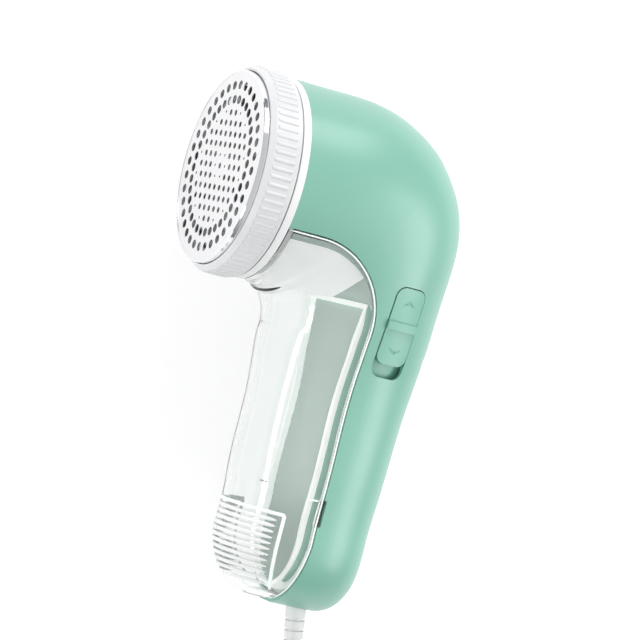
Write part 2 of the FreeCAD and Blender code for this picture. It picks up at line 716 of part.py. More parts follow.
BOARD_TOP = D["board_level"] + D["board_thick"]
LEG_X, LEG_Y = D["slot_x"], -D["slot_y"] - 4.0


def switch():
    clear = D["slider_clear"]
    slider_y = -D["slot_y"] + (D["slot_long"] - D["slider_long"]) / 2
    prism = slot_prism(-clear, long=D["slider_long"], centre_y=slider_y)
    cap = prism.common(body_form(-D["slider_proud"]).cut(body_form(D["wall"] + 2.0, OPEN_START)))
    rib_y = slider_y
    rib = prism.common(slab(0, FAR, rib_y - D["knob_long"] / 2, rib_y + D["knob_long"] / 2)).common(
        body_form(-D["slider_proud"] - D["knob_proud"]).cut(body_form(0.5)))
    plate = slot_prism(1.0, long=D["slot_long"] + D["slider_travel"] + 2.0, centre_y=slider_y + 0.4).common(
        body_form(D["wall"] + 0.5, OPEN_START).cut(body_form(D["wall"] + 2.0, OPEN_START)))
    over_leg = plate.common(slab(LEG_X - 1.2, LEG_X + 1.2, LEG_Y - 1.5, LEG_Y + 1.5))
    leg_top = over_leg.optimalBoundingBox(False).ZMin
    leg = slab(LEG_X - 1.2, LEG_X + 1.2, LEG_Y - 1.2, LEG_Y + 1.2, BOARD_TOP + 2.4, leg_top + 1.0)
    up = slab(0, FAR, -FAR, FAR, 4, FAR)
    keep(feature(cap.fuse([rib, plate, leg]).common(up)), "switch_slider")
    body = block(Vector(LEG_X - 4, LEG_Y - 10, BOARD_TOP), "8", "14", "switch_body")
    slot = block(Vector(LEG_X - 1.6, LEG_Y - 2 - D["slider_travel"], BOARD_TOP + 1.4),
                 "3.2", "slider_travel + 4", "switch_body")
    keep(cut(body, [slot]), "slide_switch_body")


def electrics():
    corner = Vector(D["slot_x"] - 6.2, -36.0 - D["board_long"], D["board_level"])
    board = block(corner, "board_wide", "board_long", "board_thick")
    holes = [rod(Vector(x, y, D["board_level"] - 1), Rotation(), "1.0", "4") for x, y in BOARD_POSTS]
    keep(cut(board, holes), "control_board")
    screws = [fused([rod(Vector(x, y, D["board_level"] - 1.4), Rotation(), "2.0", "1.4"),
                     rod(Vector(x, y, D["board_level"]), Rotation(), "1.0", "5")]) for x, y in BOARD_POSTS]
    keep(group(screws), "board_screws")
    keep(block(Vector(63, -66, BOARD_TOP), "6", "5.5", "2.6"), "bridge_rectifier")
    keep(rod(Vector(64.5, -84.5, BOARD_TOP + 2.6), ALONG_Y, "2.6", "11"), "smoothing_capacitor")
    keep(block(Vector(57.2, -74, BOARD_TOP), "3.6", "6", "3.2"), "film_capacitor")


def lockout():
    tail = "plunger_long"
    cap_at = 9.3
    keep(turned("plunger", [("0", "0"), ("0", "plunger_radius"), (str(cap_at), "plunger_radius"),
                            (str(cap_at), "plunger_cap"), (f"{cap_at} + 0.7", "plunger_cap"),
                            (f"{cap_at} + 0.7", "plunger_radius"), (tail, "plunger_radius"), (tail, "0")],
                Placement(PLUNGER, Rotation())), "lockout_plunger")
    start, end = PLUNGER.x + cap_at + 0.7, PLUNGER.x + D["plunger_long"] + 0.5
    turns = 4
    pitch = (end - start) / turns
    coils = [primitive("Torus", Placement(Vector(start + pitch * (step + 0.5), PLUNGER.y, 0), ALONG_X),
                       Radius1="plunger_radius + spring_wire + 0.05", Radius2="spring_wire")
             for step in range(turns)]
    keep(group(coils), "lockout_spring")
    keep(block(Vector(end, PLUNGER.y - 6.2, -4.5), "6.5", "7.2", "9"), "lockout_switch")


# ---------------------------------------------------------------- cord end

INNER_CORD = 14.0
CLAMP_WIDE, CLAMP_LOW, CLAMP_SIDES = 9.8, -1.5, (-3.6, 3.6)


def relief():
    start, direction = relief_frame()
    rings, pitch, wide = 7, 3.2, 0.9
    slope = (D["relief_root"] - D["relief_tip"]) / D["relief_long"]
    outline = [("0", "0"), ("0", "relief_flange"), ("1.8", "relief_flange"), ("1.8", "relief_root"),
               ("relief_inside", "relief_root")]
    for ring in range(rings):
        near = 3.0 + ring * pitch
        for along, deep in ((near, 0), (near, 1), (near + wide, 1), (near + wide, 0)):
            outline.append((f"relief_inside + {along}",
                            f"relief_root - {slope * along:.4f} - {deep} * relief_groove"))
    outline += [("relief_inside + relief_long", "relief_tip"), ("relief_inside + relief_long", "0")]
    place = Placement(start, Rotation(X_AXIS, direction))
    keep(turned("relief", outline, place), "strain_relief")
    back = start - direction * INNER_CORD
    tail = rod(back, Rotation(Z_AXIS, direction), "cord_radius", str(INNER_CORD))
    keep(tail, "inner_cord")
    middle = start - direction * INNER_CORD / 2
    clamp = block(Vector(middle.x - CLAMP_WIDE / 2, middle.y - 2.5, CLAMP_LOW), str(CLAMP_WIDE), "5", "6")
    groove = rod(back - direction * 4, Rotation(Z_AXIS, direction), "cord_radius", "30")
    screws = [fused([rod(Vector(middle.x + side, middle.y, CLAMP_LOW - 1.5), Rotation(), "0.9", "7.5"),
                     rod(Vector(middle.x + side, middle.y, CLAMP_LOW + 6), Rotation(), "1.4", "1.5")])
              for side in CLAMP_SIDES]
    holes = [rod(Vector(middle.x + side, middle.y, CLAMP_LOW - 2.5), Rotation(), "0.9", "12")
             for side in CLAMP_SIDES]
    keep(cut(clamp, [groove] + holes), "cord_clamp")
    keep(group(screws), "clamp_screws")


# The cord's routes are laid out on the floor that the shaver lies on, so they are in the laid frame:
# from the strain relief's tip down to the coil, and from the coil to the plug. They move with the tip.
CORD_ROUTE = [Vector(*point) for point in (
    (26.29, -93.52, 15.55), (28.37, -105.26, 14.23), (30.8, -118.4, 10.0), (32.6, -131.0, 5.3),
    (33.8, -142.5, 2.95), (33.2, -152.0, 2.9))]
PLUG_ROUTE = [Vector(*point) for point in (
    (13.4, -177.5, 11.3), (1.0, -181.2, 9.7), (-13.0, -184.8, 5.8), (-27.5, -186.4, 3.0),
    (-42.0, -184.4, 2.6), (-52.4, -176.4, 4.3), (-56.0, -167.0, 6.85), (-56.0, -159.0, 6.85))]
COIL_CENTRE = Vector(6.0, -150.0, 0)
ARC_SHARE = 0.45


def cord_tube(route):
    """Straight runs joined by tangent arcs, each arc as large as its two runs allow."""
    edges, start = [], route[0]
    for before, corner, after in zip(route, route[1:], route[2:]):
        arriving, leaving = (corner - before).normalize(), (after - corner).normalize()
        turn = arriving.getAngle(leaving)
        cutback = ARC_SHARE * min(corner.distanceToPoint(before), after.distanceToPoint(corner))
        radius = cutback / math.tan(turn / 2)
        first, last = corner - arriving * cutback, corner + leaving * cutback
        middle_line = (leaving - arriving).normalize()
        middle = corner + middle_line * (radius / math.cos(turn / 2) - radius)
        edges.append(Part.LineSegment(start, first).toShape())
        edges.append(Part.Arc(first, middle, last).toShape())
        start = last
    edges.append(Part.LineSegment(start, route[-1]).toShape())
    path = Part.Wire(edges)
    ring = Part.Wire([Part.makeCircle(D["cord_radius"], route[0], route[1] - route[0])])
    return path.makePipeShell([ring], True, True)


def cord_and_plug(laid):
    """The cord outside the shell, its coil and its plug; laid takes the drawing to the floor."""
    inner_end, direction = relief_frame()
    tip = laid.multVec(inner_end + direction * (D["relief_inside"] + D["relief_long"]))
    aside = Vector(tip.x - CORD_ROUTE[0].x, tip.y - CORD_ROUTE[0].y, 0)
    cord_route = [point + aside for point in CORD_ROUTE]
    rise = Vector(0, 0, tip.z - CORD_ROUTE[0].z)
    cord_route[:2] = [point + rise for point in cord_route[:2]]
    plug_route = [point + aside for point in PLUG_ROUTE]
    centre = COIL_CENTRE + aside
    stack = "coil_rows * cord_radius"
    lift = "tie_thick"
    bevel = 1.2
    outline = []
    for side, up in ((-1, 0), (1, 0), (1, 1), (-1, 1)):
        flat = (f"{lift} + {2 * up} * {stack}", f"coil_mean + {side} * ({stack} - {bevel})")
        steep = (f"{lift} + {2 * up} * {stack} + {bevel * (1 - 2 * up)}", f"coil_mean + {side} * {stack}")
        outline += [flat, steep] if side * (1 - 2 * up) > 0 else [steep, flat]
    coil = turned("coil", outline, Placement(centre, Rotation(X_AXIS, Z_AXIS)))
    doc.recompute()
    coil_shape = coil.Shape
    keep(feature(cord_tube(cord_route).cut(coil_shape)), "power_cord")
    keep(coil, "cord_coil")
    across = centre + Vector(-D["coil_mean"], 0, 0)
    tie_reach = D["coil_rows"] * D["cord_radius"] + D["tie_thick"]
    tie_size = "2 * (coil_rows * cord_radius + tie_thick)"
    outer = block(across + Vector(-tie_reach, -D["tie_wide"] / 2, 0), tie_size, "tie_wide", tie_size)
    inner = feature(coil_shape)
    keep(cut(outer, [inner]), "coil_tie")
    end = plug_route[-1]
    neck = rod(end, ALONG_Y, "cord_radius + 1.2", "plug_neck")
    body_start = end + Y_AXIS * (D["plug_neck"] - 1.0)
    wires = []
    for share, wide, high in ((0.0, 0.32, 0.62), (0.35, 0.72, 0.92), (1.0, 1.0, 1.0)):
        w, h, y = D["plug_wide"] * wide / 2, D["plug_high"] * high / 2, body_start.y + D["plug_long"] * share
        corner = h * 0.7
        points = [Vector(end.x + i * (w - a * corner), y, end.z + j * (h - b * corner))
                  for i, j, order in ((1, 1, ((0, 1), (1, 0))), (-1, 1, ((1, 0), (0, 1))),
                                      (-1, -1, ((0, 1), (1, 0))), (1, -1, ((1, 0), (0, 1))))
                  for a, b in order]
        wires.append(Part.makePolygon(points + points[:1]))
    body = feature(Part.makeLoft(wires, True, True))
    keep(fused([neck, body]), "mains_plug")
    face = body_start + Y_AXIS * D["plug_long"]
    roots = [face + X_AXIS * (side * D["pin_spacing"] / 2) for side in (-1, 1)]
    pin_end = Y_AXIS * (D["pin_long"] - D["pin_radius"])
    pins = [fused([rod(root, ALONG_Y, "pin_radius", "pin_long - pin_radius"),
                   primitive("Sphere", Placement(root + pin_end, Rotation()), Radius="pin_radius")])
            for root in roots]
    keep(group(pins), "plug_pins")
    keep(feature(cord_tube(plug_route).cut(coil_shape)), "plug_lead")


foil()
foil_bezel()
lock_ring()
head_collar()
blade_chamber()
cutter()
motor()
bracket()
housings()
housing_screws()
lint_bin()
bin_back()
bin_catches()
switch()
electrics()
lockout()
relief()

# ---------------------------------------------------------------- lay it down and write it out

TILT = math.degrees(math.asin((D["ring_outer"] - HALF) / TURN))
doc.recompute()
laid = Placement(Vector(0, 0, D["ring_outer"]), Rotation(X_AXIS, TILT))
extent = FreeCAD.BoundBox()
for part in parts:
    shape = part.Shape.copy()
    shape.Placement = laid.multiply(shape.Placement)
    extent.add(shape.optimalBoundingBox(False))
laid.Base = laid.Base - Vector(extent.Center.x, extent.Center.y, 0)
for part in parts:
    part.Placement = laid.multiply(part.Placement)
cord_and_plug(laid)
doc.recompute()

for item in doc.Objects:
    if {"Invalid", "Error"} & set(item.State):
        raise RuntimeError(f"{item.Label} did not rebuild: {item.State}")
os.makedirs("parts", exist_ok=True)
for part in parts:
    if part.Shape.isNull() or not part.Shape.isValid():
        raise RuntimeError(f"{part.Label} has no valid shape")
    part.Shape.exportStep(f"parts/{part.Label}.step")
print(len(parts), "parts")
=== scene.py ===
import json
import math

import bmesh
import bpy
from mathutils import Matrix, Vector
from mathutils.bvhtree import BVHTree


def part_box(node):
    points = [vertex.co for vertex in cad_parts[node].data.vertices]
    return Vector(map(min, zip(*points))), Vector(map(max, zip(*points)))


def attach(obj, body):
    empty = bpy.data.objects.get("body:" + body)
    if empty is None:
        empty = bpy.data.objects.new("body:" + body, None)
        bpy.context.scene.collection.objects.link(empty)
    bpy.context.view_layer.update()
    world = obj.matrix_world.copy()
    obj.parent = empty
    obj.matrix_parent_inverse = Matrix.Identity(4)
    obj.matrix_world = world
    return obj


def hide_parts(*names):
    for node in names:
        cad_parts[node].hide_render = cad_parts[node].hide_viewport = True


# A plug-in fabric shaver lying on a white table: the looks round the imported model. Everything is in metres
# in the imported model's frame. MM turns the drawing's millimetres into metres.

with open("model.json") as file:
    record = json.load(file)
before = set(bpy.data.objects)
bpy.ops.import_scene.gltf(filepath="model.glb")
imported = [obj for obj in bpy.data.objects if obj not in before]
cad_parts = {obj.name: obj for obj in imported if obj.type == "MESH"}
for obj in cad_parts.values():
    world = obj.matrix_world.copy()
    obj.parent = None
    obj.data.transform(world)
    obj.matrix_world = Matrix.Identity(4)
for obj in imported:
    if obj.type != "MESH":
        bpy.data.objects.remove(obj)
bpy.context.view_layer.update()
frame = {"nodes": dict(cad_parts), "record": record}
nodes = frame["nodes"]
MM = 0.001

# ---------------------------------------------------------------- the drawing frame
# The shaver was drawn with +X from the foil to the back, +Y to the head and +Z to the switch, then tilted
# about X and lifted so that it lies on its side. The foil's mount says where its axis went.

RING_RADIUS, HANDLE_HALF, TURN_LENGTH = 33.0, 21.0, 107.0
TILT = math.asin((RING_RADIUS - HANDLE_HALF) / TURN_LENGTH)
FACE_IN_DRAWING = Vector((0.15, 0.0, 1.95))
face = next(mount for mount in frame["record"]["mounts"] if mount["name"] == "shaving_face")
TURNED = Matrix.Rotation(TILT, 3, "X")
BASE = Vector(face["pos_m"]) - TURNED @ FACE_IN_DRAWING * MM


def laid(x, y, z):
    """A point of the drawing, in millimetres, where it lies on the table, in metres."""
    return BASE + TURNED @ Vector((x, y, z)) * MM


def laid_way(x, y, z):
    return TURNED @ Vector((x, y, z))


# ---------------------------------------------------------------- materials

def new_material(name):
    material = bpy.data.materials.new(name)
    material.use_nodes = True
    tree = material.node_tree
    return material, tree, tree.nodes["Principled BSDF"]


def noise(tree, scale, detail=3.0, stretch=None):
    """A noise texture in object coordinates, stretched along an axis where stretch is given."""
    coordinates = tree.nodes.new("ShaderNodeTexCoord")
    texture = tree.nodes.new("ShaderNodeTexNoise")
    texture.inputs["Scale"].default_value = scale
    texture.inputs["Detail"].default_value = detail
    source = coordinates.outputs["Object"]
    if stretch:
        mapping = tree.nodes.new("ShaderNodeMapping")
        mapping.inputs["Scale"].default_value = stretch
        tree.links.new(source, mapping.inputs["Vector"])
        source = mapping.outputs["Vector"]
    tree.links.new(source, texture.inputs["Vector"])
    return texture.outputs["Fac"]


def ramp(tree, source, low, high, start=0.3, end=0.7):
    """A number or a colour that runs from low to high as source runs from start to end."""
    stops = tree.nodes.new("ShaderNodeValToRGB")
    first, last = stops.color_ramp.elements
    first.position, last.position = start, end
    first.color = low if isinstance(low, tuple) else (low, low, low, 1)
    last.color = high if isinstance(high, tuple) else (high, high, high, 1)
    tree.links.new(source, stops.inputs["Fac"])
    return stops.outputs["Color"]


def bump(tree, shader, source, height, strength):
    node = tree.nodes.new("ShaderNodeBump")
    node.inputs["Distance"].default_value = height
    node.inputs["Strength"].default_value = strength
    tree.links.new(source, node.inputs["Height"])
    tree.links.new(node.outputs["Normal"], shader.inputs["Normal"])


def shade(colour, share):
    return tuple(channel * share for channel in colour) + (1,)


# how many times a noise repeats over a metre: slow drifts of colour and polish, ripples, haze and fine grain
FLOW, POLISH, GRAIN, RIPPLE, HAZE = 55.0, 90.0, 1600.0, 70.0, 240.0
COAT_ROUGHNESS = 0.30
CLEAR_IOR = 1.42


def moulded(name, colour, roughness=0.35, grain=0.00001, coat=0.0, spread=0.02, painted_glow=0.0):
    """Moulded plastic or rubber: faint flow marks in the colour, uneven polish and a fine texture.

    The last argument is an emission strength: a painted glow that brightens a piece inside the clear bin
    beyond what the lamps give it.
    """
    material, tree, shader = new_material(name)
    flow = noise(tree, FLOW, 2.0)
    tree.links.new(ramp(tree, flow, shade(colour, 1 - spread), shade(colour, 1 + spread / 2)),
                   shader.inputs["Base Color"])
    polish = noise(tree, POLISH, 2.0)
    tree.links.new(ramp(tree, polish, roughness * 0.95, roughness * 1.05), shader.inputs["Roughness"])
    bump(tree, shader, noise(tree, GRAIN, 2.0), grain, 0.5)
    if coat:
        shader.inputs["Coat Weight"].default_value = coat
        shader.inputs["Coat Roughness"].default_value = COAT_ROUGHNESS
    # painted glow: the piece gives off light in its own colour, though it is no lamp
    if painted_glow:
        shader.inputs["Emission Color"].default_value = colour + (1,)
        shader.inputs["Emission Strength"].default_value = painted_glow
    return material


def metal(name, colour, roughness, stretch=None, scale=700.0, grain=0.000004, spread=0.04):
    """Bare metal with fine lines along the stretched axis, or an even satin where there is none."""
    material, tree, shader = new_material(name)
    shader.inputs["Metallic"].default_value = 1.0
    lines = noise(tree, scale, 3.0, stretch)
    tree.links.new(ramp(tree, lines, shade(colour, 1 - spread), shade(colour, 1.0)),
                   shader.inputs["Base Color"])
    tree.links.new(ramp(tree, lines, roughness * 0.8, roughness * 1.25), shader.inputs["Roughness"])
    bump(tree, shader, lines, grain, 0.4)
    return material


def clear(name, colour, roughness=0.03, through=1.0):
    """Clear moulded plastic with faint ripples."""
    material, tree, shader = new_material(name)
    shader.inputs["Base Color"].default_value = colour + (1,)
    shader.inputs["Transmission Weight"].default_value = through
    shader.inputs["IOR"].default_value = CLEAR_IOR
    haze = noise(tree, HAZE, 3.0)
    tree.links.new(ramp(tree, haze, roughness * 0.5, roughness * 1.8), shader.inputs["Roughness"])
    bump(tree, shader, noise(tree, RIPPLE, 1.0), 0.00001, 0.2)
    return material


MINT = (0.183, 0.425, 0.332)
MATERIALS = {
    "steel_foil": metal("punched_steel", (0.84, 0.84, 0.85), 0.38, (1, 1, 8), 420.0),
    "chrome_rim": metal("polished_chrome", (0.88, 0.89, 0.91), 0.07, (12, 1, 1), 260.0, 0.000001),
    "white_ribbed": moulded("white_ring", (0.66, 0.665, 0.675), 0.34),
    "white_plastic": moulded("white_moulding", (0.79, 0.795, 0.80), 0.32),
    "mint_plastic": moulded("mint_shell", MINT, 0.42, 0.000006, coat=0.45, spread=0.012),
    "mint_switch": moulded("mint_slider", MINT, 0.36, 0.00002),
    "clear_plastic": clear("clear_bin", (0.982, 0.999, 0.990)),
    "mint_panel": moulded("grey_green_panel", (0.56, 0.67, 0.62), 0.42, 0.00002),
    "seal_white": moulded("soft_seal", (0.86, 0.88, 0.87), 0.55),
    "spring_steel": metal("spring_wire", (0.60, 0.61, 0.63), 0.25),
    "dark_steel": metal("blackened_steel", (0.20, 0.21, 0.22), 0.38),
    "motor_steel": metal("zinc_steel", (0.62, 0.63, 0.65), 0.34, (1, 6, 6)),
    "bronze": metal("sintered_bronze", (0.60, 0.38, 0.20), 0.45),
    "winding": metal("lacquered_copper", (0.66, 0.30, 0.15), 0.34, (8, 1, 1)),
    "ferrite": moulded("dark_ferrite", (0.05, 0.05, 0.055), 0.6, 0.00004),
    "black_plastic": moulded("black_moulding", (0.022, 0.022, 0.025), 0.45),
    "damper_rubber": moulded("damper_rubber", (0.03, 0.03, 0.03), 0.7, 0.00005),
    "circuit_board": moulded("solder_mask", (0.03, 0.16, 0.07), 0.35),
    "screw_steel": metal("nickel_screw", (0.70, 0.70, 0.72), 0.28),
    "cord_white": moulded("soft_cord", (0.68, 0.69, 0.69), 0.50, 0.00003),
    "plug_white": moulded("plug_moulding", (0.66, 0.67, 0.67), 0.40),
    "pin_metal": metal("plated_pin", (0.74, 0.72, 0.66), 0.22),
}
# variants of a slot's finish for one piece
FROSTED = clear("frosted_ribs", (0.97, 0.985, 0.978), 0.5, 0.25)
# pale opaque colour on the clear bin's moulded edges and lines: a painted highlight along them
PAINTED_HIGHLIGHT_EDGE = moulded("edge_painted_highlight", (0.88, 0.95, 0.92), 0.22)
# the green strip at the seal's foot has a faint painted glow
TINTED_EDGE = moulded("tinted_edge", (0.46, 0.70, 0.60), 0.35, painted_glow=0.08)
NODE_FINISH = {
    # painted light: the neck and the seal are lighter copies of their white mouldings with a painted glow, to
    # look bright behind the clear bin's wall
    "lint_neck": moulded("neck_white_painted_glow", (0.96, 0.965, 0.97), 0.34, painted_glow=0.20),
    "bin_seal": moulded("seal_painted_glow", (0.97, 0.985, 0.975), 0.35, painted_glow=0.34),
    "blade_holder": moulded("holder_grey", (0.55, 0.55, 0.56), 0.45),
    "motor_bracket": moulded("bracket_grey", (0.40, 0.40, 0.41), 0.5),
}
for subpart in frame["record"]["subparts"]:
    node = subpart["node"]
    mesh = nodes[node].data
    mesh.materials.clear()
    mesh.materials.append(NODE_FINISH.get(node) or MATERIALS[subpart["material_slot"]])


# ---------------------------------------------------------------- making pieces

def piece(name, verts, faces, slot, body, smooth=True, finish=None):
    """A mesh in the row frame, in the record's finish or a variant of it, riding on a body."""
    mesh = bpy.data.meshes.new(name)
    mesh.from_pydata([tuple(vert) for vert in verts], [], faces)
    mesh.validate()
    work = bmesh.new()
    work.from_mesh(mesh)
    bmesh.ops.remove_doubles(work, verts=work.verts, dist=1e-7)
    bmesh.ops.recalc_face_normals(work, faces=work.faces)
    work.to_mesh(mesh)
    work.free()
    obj = bpy.data.objects.new(name, mesh)
    bpy.context.scene.collection.objects.link(obj)
    mesh.materials.append(finish or MATERIALS[slot])
    if smooth:
        mesh.shade_smooth()
    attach(obj, body)
    return obj


def lofted(rings):
    """Closed rings of the same count joined in order, with both ends closed."""
    verts, faces, count = [], [], len(rings[0])
    for ring in rings:
        verts.extend(ring)
    for level in range(len(rings) - 1):
        for step in range(count):
            here, there = level * count, (level + 1) * count
            following = (step + 1) % count
            faces.append((here + step, here + following, there + following, there + step))
    faces.append(tuple(range(count)))
    faces.append(tuple(range((len(rings) - 1) * count, len(rings) * count)))
    return verts, faces


def spline(name, points, radius, slot, body, resolution=4, round_steps=6):
    """A round wire or cord along a second-degree curve that starts and ends at its end points."""
    curve = bpy.data.curves.new(name, "CURVE")
    curve.dimensions = "3D"
    line = curve.splines.new("NURBS")
    line.points.add(len(points) - 1)
    for control, point in zip(line.points, points):
        control.co = (*point, 1.0)
    line.order_u = 3
    line.use_endpoint_u = True
    curve.resolution_u = resolution
    curve.bevel_depth = radius
    curve.bevel_resolution = round_steps
    curve.use_fill_caps = True
    obj = bpy.data.objects.new(name, curve)
    bpy.context.scene.collection.objects.link(obj)
    curve.materials.append(MATERIALS[slot])
    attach(obj, body)
    return obj


def surface_of(node):
    """Where straight lines meet a CAD node."""
    mesh = nodes[node].data
    return BVHTree.FromPolygons([vert.co for vert in mesh.vertices],
                                [tuple(face.vertices) for face in mesh.polygons])


# ---------------------------------------------------------------- cord, coil, tie and plug

CORD_RADIUS = 2.1
CORD_ROUTE = ((26.29, -93.52, 15.55), (28.37, -105.26, 14.23), (30.8, -118.4, 10.0), (32.6, -131.0, 5.3),
              (33.8, -142.5, 2.95))
PLUG_ROUTE = ((1.0, -181.2, 9.7), (-13.0, -184.8, 5.8), (-27.5, -186.4, 3.0), (-42.0, -184.4, 2.6),
              (-52.4, -176.4, 4.3), (-56.0, -167.0, 6.85), (-56.0, -159.0, 6.85))
COIL_CENTRE = (6.0, -150.0)
COIL_FLOOR = 0.8
COLUMN_RADII = (28.5, 24.3, 20.1)
# the nine places of the coil's section that the turns pass through, as (column, row)
TURN_PLACES = ((0, 0), (1, 0), (2, 0), (2, 1), (2, 2), (1, 2), (1, 1), (0, 1), (0, 2))
# degrees round the coil: where the cord joins it and leaves it, how far apart the turns change place and over
# what reach, and between control points
COIL_ENTRY, COIL_EXIT = 80.0, 165.0
SHIFT_STEP, SHIFT_WIDE = 34.0, 62.0
COIL_STEP = 15.0


def eased(share):
    share = min(max(share, 0.0), 1.0)
    return share * share * (3 - 2 * share)


def place_at(angle):
    """The radius and height of the cord in the coil at an angle counted on from the first turn."""
    column, row = (float(number) for number in TURN_PLACES[0])
    last = len(TURN_PLACES) - 2
    for turn, (here, there) in enumerate(zip(TURN_PLACES, TURN_PLACES[1:])):
        middle = COIL_EXIT + 360 * turn + (last - turn + 0.5) * SHIFT_STEP
        share = eased((angle - middle) / SHIFT_WIDE + 0.5)
        column += share * (there[0] - here[0])
        row += share * (there[1] - here[1])
    radius = COLUMN_RADII[0] - column * 2 * CORD_RADIUS
    return radius, COIL_FLOOR + CORD_RADIUS * (1 + 2 * row)


def coil_points():
    """Control points of the coil's turns; the curve runs a little inside them, which the radius makes up."""
    end = COIL_EXIT + 360 * (len(TURN_PLACES) - 1)
    count = round((end - COIL_ENTRY) / COIL_STEP)
    grow = 1 / (0.75 + 0.25 * math.cos(math.radians(COIL_STEP)))
    points = []
    for step in range(count + 1):
        angle = COIL_ENTRY + (end - COIL_ENTRY) * step / count
        radius, height = place_at(angle)
        turn = math.radians(angle)
        points.append((COIL_CENTRE[0] + radius * grow * math.sin(turn),
                       COIL_CENTRE[1] + radius * grow * math.cos(turn), height))
    return points


cord_route = [Vector(point) * MM for point in [*CORD_ROUTE, *coil_points(), *PLUG_ROUTE]]
cord = spline("mains_cord", cord_route, CORD_RADIUS * MM, "cord_white", "root", 5, 6)


def rounded_ring(middle, right, up, half_wide, half_high, corner, steps=5):
    """A rounded rectangle about middle, in the plane of right and up."""
    points = []
    for quarter, (side, rise) in enumerate(((1, 1), (-1, 1), (-1, -1), (1, -1))):
        hub = middle + right * side * (half_wide - corner) + up * rise * (half_high - corner)
        for step in range(steps + 1):
            turn = math.pi / 2 * (quarter + step / steps)
            points.append(hub + right * corner * math.cos(turn) + up * corner * math.sin(turn))
    return points


PLUG_NECK, NECK_RADIUS, NECK_RINGS = 10.0 * MM, 3.25 * MM, 5
# the plug's body: how far along it, and the share of the full width and height there
PLUG_WIDTHS = ((0.02, 0.34, 0.60), (0.07, 0.42, 0.78), (0.14, 0.54, 0.88), (0.24, 0.66, 0.93),
               (0.34, 0.74, 0.95), (0.46, 0.80, 0.96), (0.60, 0.88, 0.97), (0.74, 0.95, 0.985),
               (0.86, 0.99, 1.0), (0.93, 1.0, 1.0), (0.975, 0.985, 0.97), (1.0, 0.93, 0.90))
FINGER_RIBS, FIRST_RIB, RIB_STEP = 6, 0.34, 0.065


def mains_plug():
    """The plug's body with its waist, the finger ribs on its sides, and its flexible neck in rings."""
    low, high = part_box("mains_plug")
    pin_low, pin_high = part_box("plug_pins")
    middle_x, middle_z = (pin_low.x + pin_high.x) / 2, (pin_low.z + pin_high.z) / 2
    right, up = Vector((1, 0, 0)), Vector((0, 0, 1))
    half_wide, half_high, length = (high.x - low.x) / 2, (high.z - low.z) / 2, high.y - low.y
    rings = []
    # the neck: rings on a tapering sleeve
    for step in range(41):
        share = step / 40
        ripple = 0.22 * MM * (1 - math.cos(2 * math.pi * NECK_RINGS * share)) * (share < 0.999)
        radius = NECK_RADIUS - 0.35 * MM * (1 - share) - ripple
        middle = Vector((middle_x, low.y + PLUG_NECK * share * 0.9, middle_z))
        rings.append(rounded_ring(middle, right, up, radius, radius, radius * 0.999))
    for share, wide, tall in PLUG_WIDTHS:
        y = low.y + PLUG_NECK + (length - PLUG_NECK) * share
        corner = half_high * tall * 0.72
        rings.append(rounded_ring(Vector((middle_x, y, middle_z)), right, up,
                                  half_wide * wide, half_high * tall, corner))
    verts, faces = lofted(rings)
    plug = piece("plug_body", verts, faces, "plug_white", "root")
    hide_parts("mains_plug")
    ribs = []
    for side in (-1, 1):
        for step in range(FINGER_RIBS):
            share = FIRST_RIB + RIB_STEP * step
            reach = half_wide * (0.74 + 0.50 * (share - FIRST_RIB))
            y = low.y + PLUG_NECK + (length - PLUG_NECK) * share
            rib = rounded_ring(Vector((middle_x + side * reach, y, middle_z)), Vector((0, 1, 0)), up,
                               0.45 * MM, half_high * 0.62, 0.4 * MM, 3)
            inner = [point - right * side * 1.2 * MM for point in rib]
            outer = [point + right * side * 0.28 * MM for point in rib]
            crest = [Vector((point.x + side * 0.12 * MM, y + (point.y - y) * 0.6,
                             middle_z + (point.z - middle_z) * 0.96)) for point in outer]
            ribs.append(lofted([inner, outer, crest]))
    joined = piece("plug_finger_ribs", *combined(ribs), "plug_white", "root")
    return plug, joined


def combined(shapes):
    """Several (verts, faces) shapes as one."""
    verts, faces = [], []
    for some_verts, some_faces in shapes:
        faces.extend(tuple(index + len(verts) for index in face) for face in some_faces)
        verts.extend(some_verts)
    return verts, faces


def coil_tie():
    """A flat strap round the coil's section, closed by a twisted tail on top."""
    low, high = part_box("coil_tie")
    middle = (low + high) / 2
    right, up, along = Vector((1, 0, 0)), Vector((0, 0, 1)), Vector((0, 1, 0))
    half_x, half_z = (high.x - low.x) / 2, (high.z - low.z) / 2
    strap = (high.y - low.y) / 2
    thick = 0.7 * MM
    outer = rounded_ring(middle, right, up, half_x, half_z, 3.2 * MM, 6)
    inner = rounded_ring(middle, right, up, half_x - thick, half_z - thick, 2.5 * MM, 6)
    edge = 0.3 * MM
    loops = []
    for line, y in ((outer, -strap + edge), (outer, strap - edge), (inner, strap), (inner, -strap)):
        loops.append([point + along * y for point in line])
    verts, faces, count = [], [], len(outer)
    for loop in loops:
        verts.extend(loop)
    for level in range(4):
        for step in range(count):
            here, there = level * count, ((level + 1) % 4) * count
            following = (step + 1) % count
            faces.append((here + step, here + following, there + following, there + step))
    band = (verts, faces)
    # the twisted tail lies along the inside of the coil
    rings = []
    start = Vector((high.x - 0.4 * MM, middle.y, middle.z + 1.5 * MM))
    for step in range(25):
        share = step / 24
        turn = math.pi * 3 * share
        wide = Vector((0, math.cos(turn), math.sin(turn)))
        tall = Vector((0, -math.sin(turn), math.cos(turn)))
        at = start + Vector((7.5 * MM * share, 0, -2.5 * MM * share * share))
        size = 1.0 if share < 0.94 else 0.7
        rings.append(rounded_ring(at, wide, tall, 1.5 * MM * size, 0.55 * MM * size, 0.3 * MM * size, 2))
    tie = piece("twist_tie", *combined([band, lofted(rings)]), "cord_white", "root")
    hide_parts("coil_tie")
    return tie


plug_body, finger_ribs = mains_plug()
tie = coil_tie()
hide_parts("power_cord", "cord_coil", "plug_lead")


# ---------------------------------------------------------------- springs

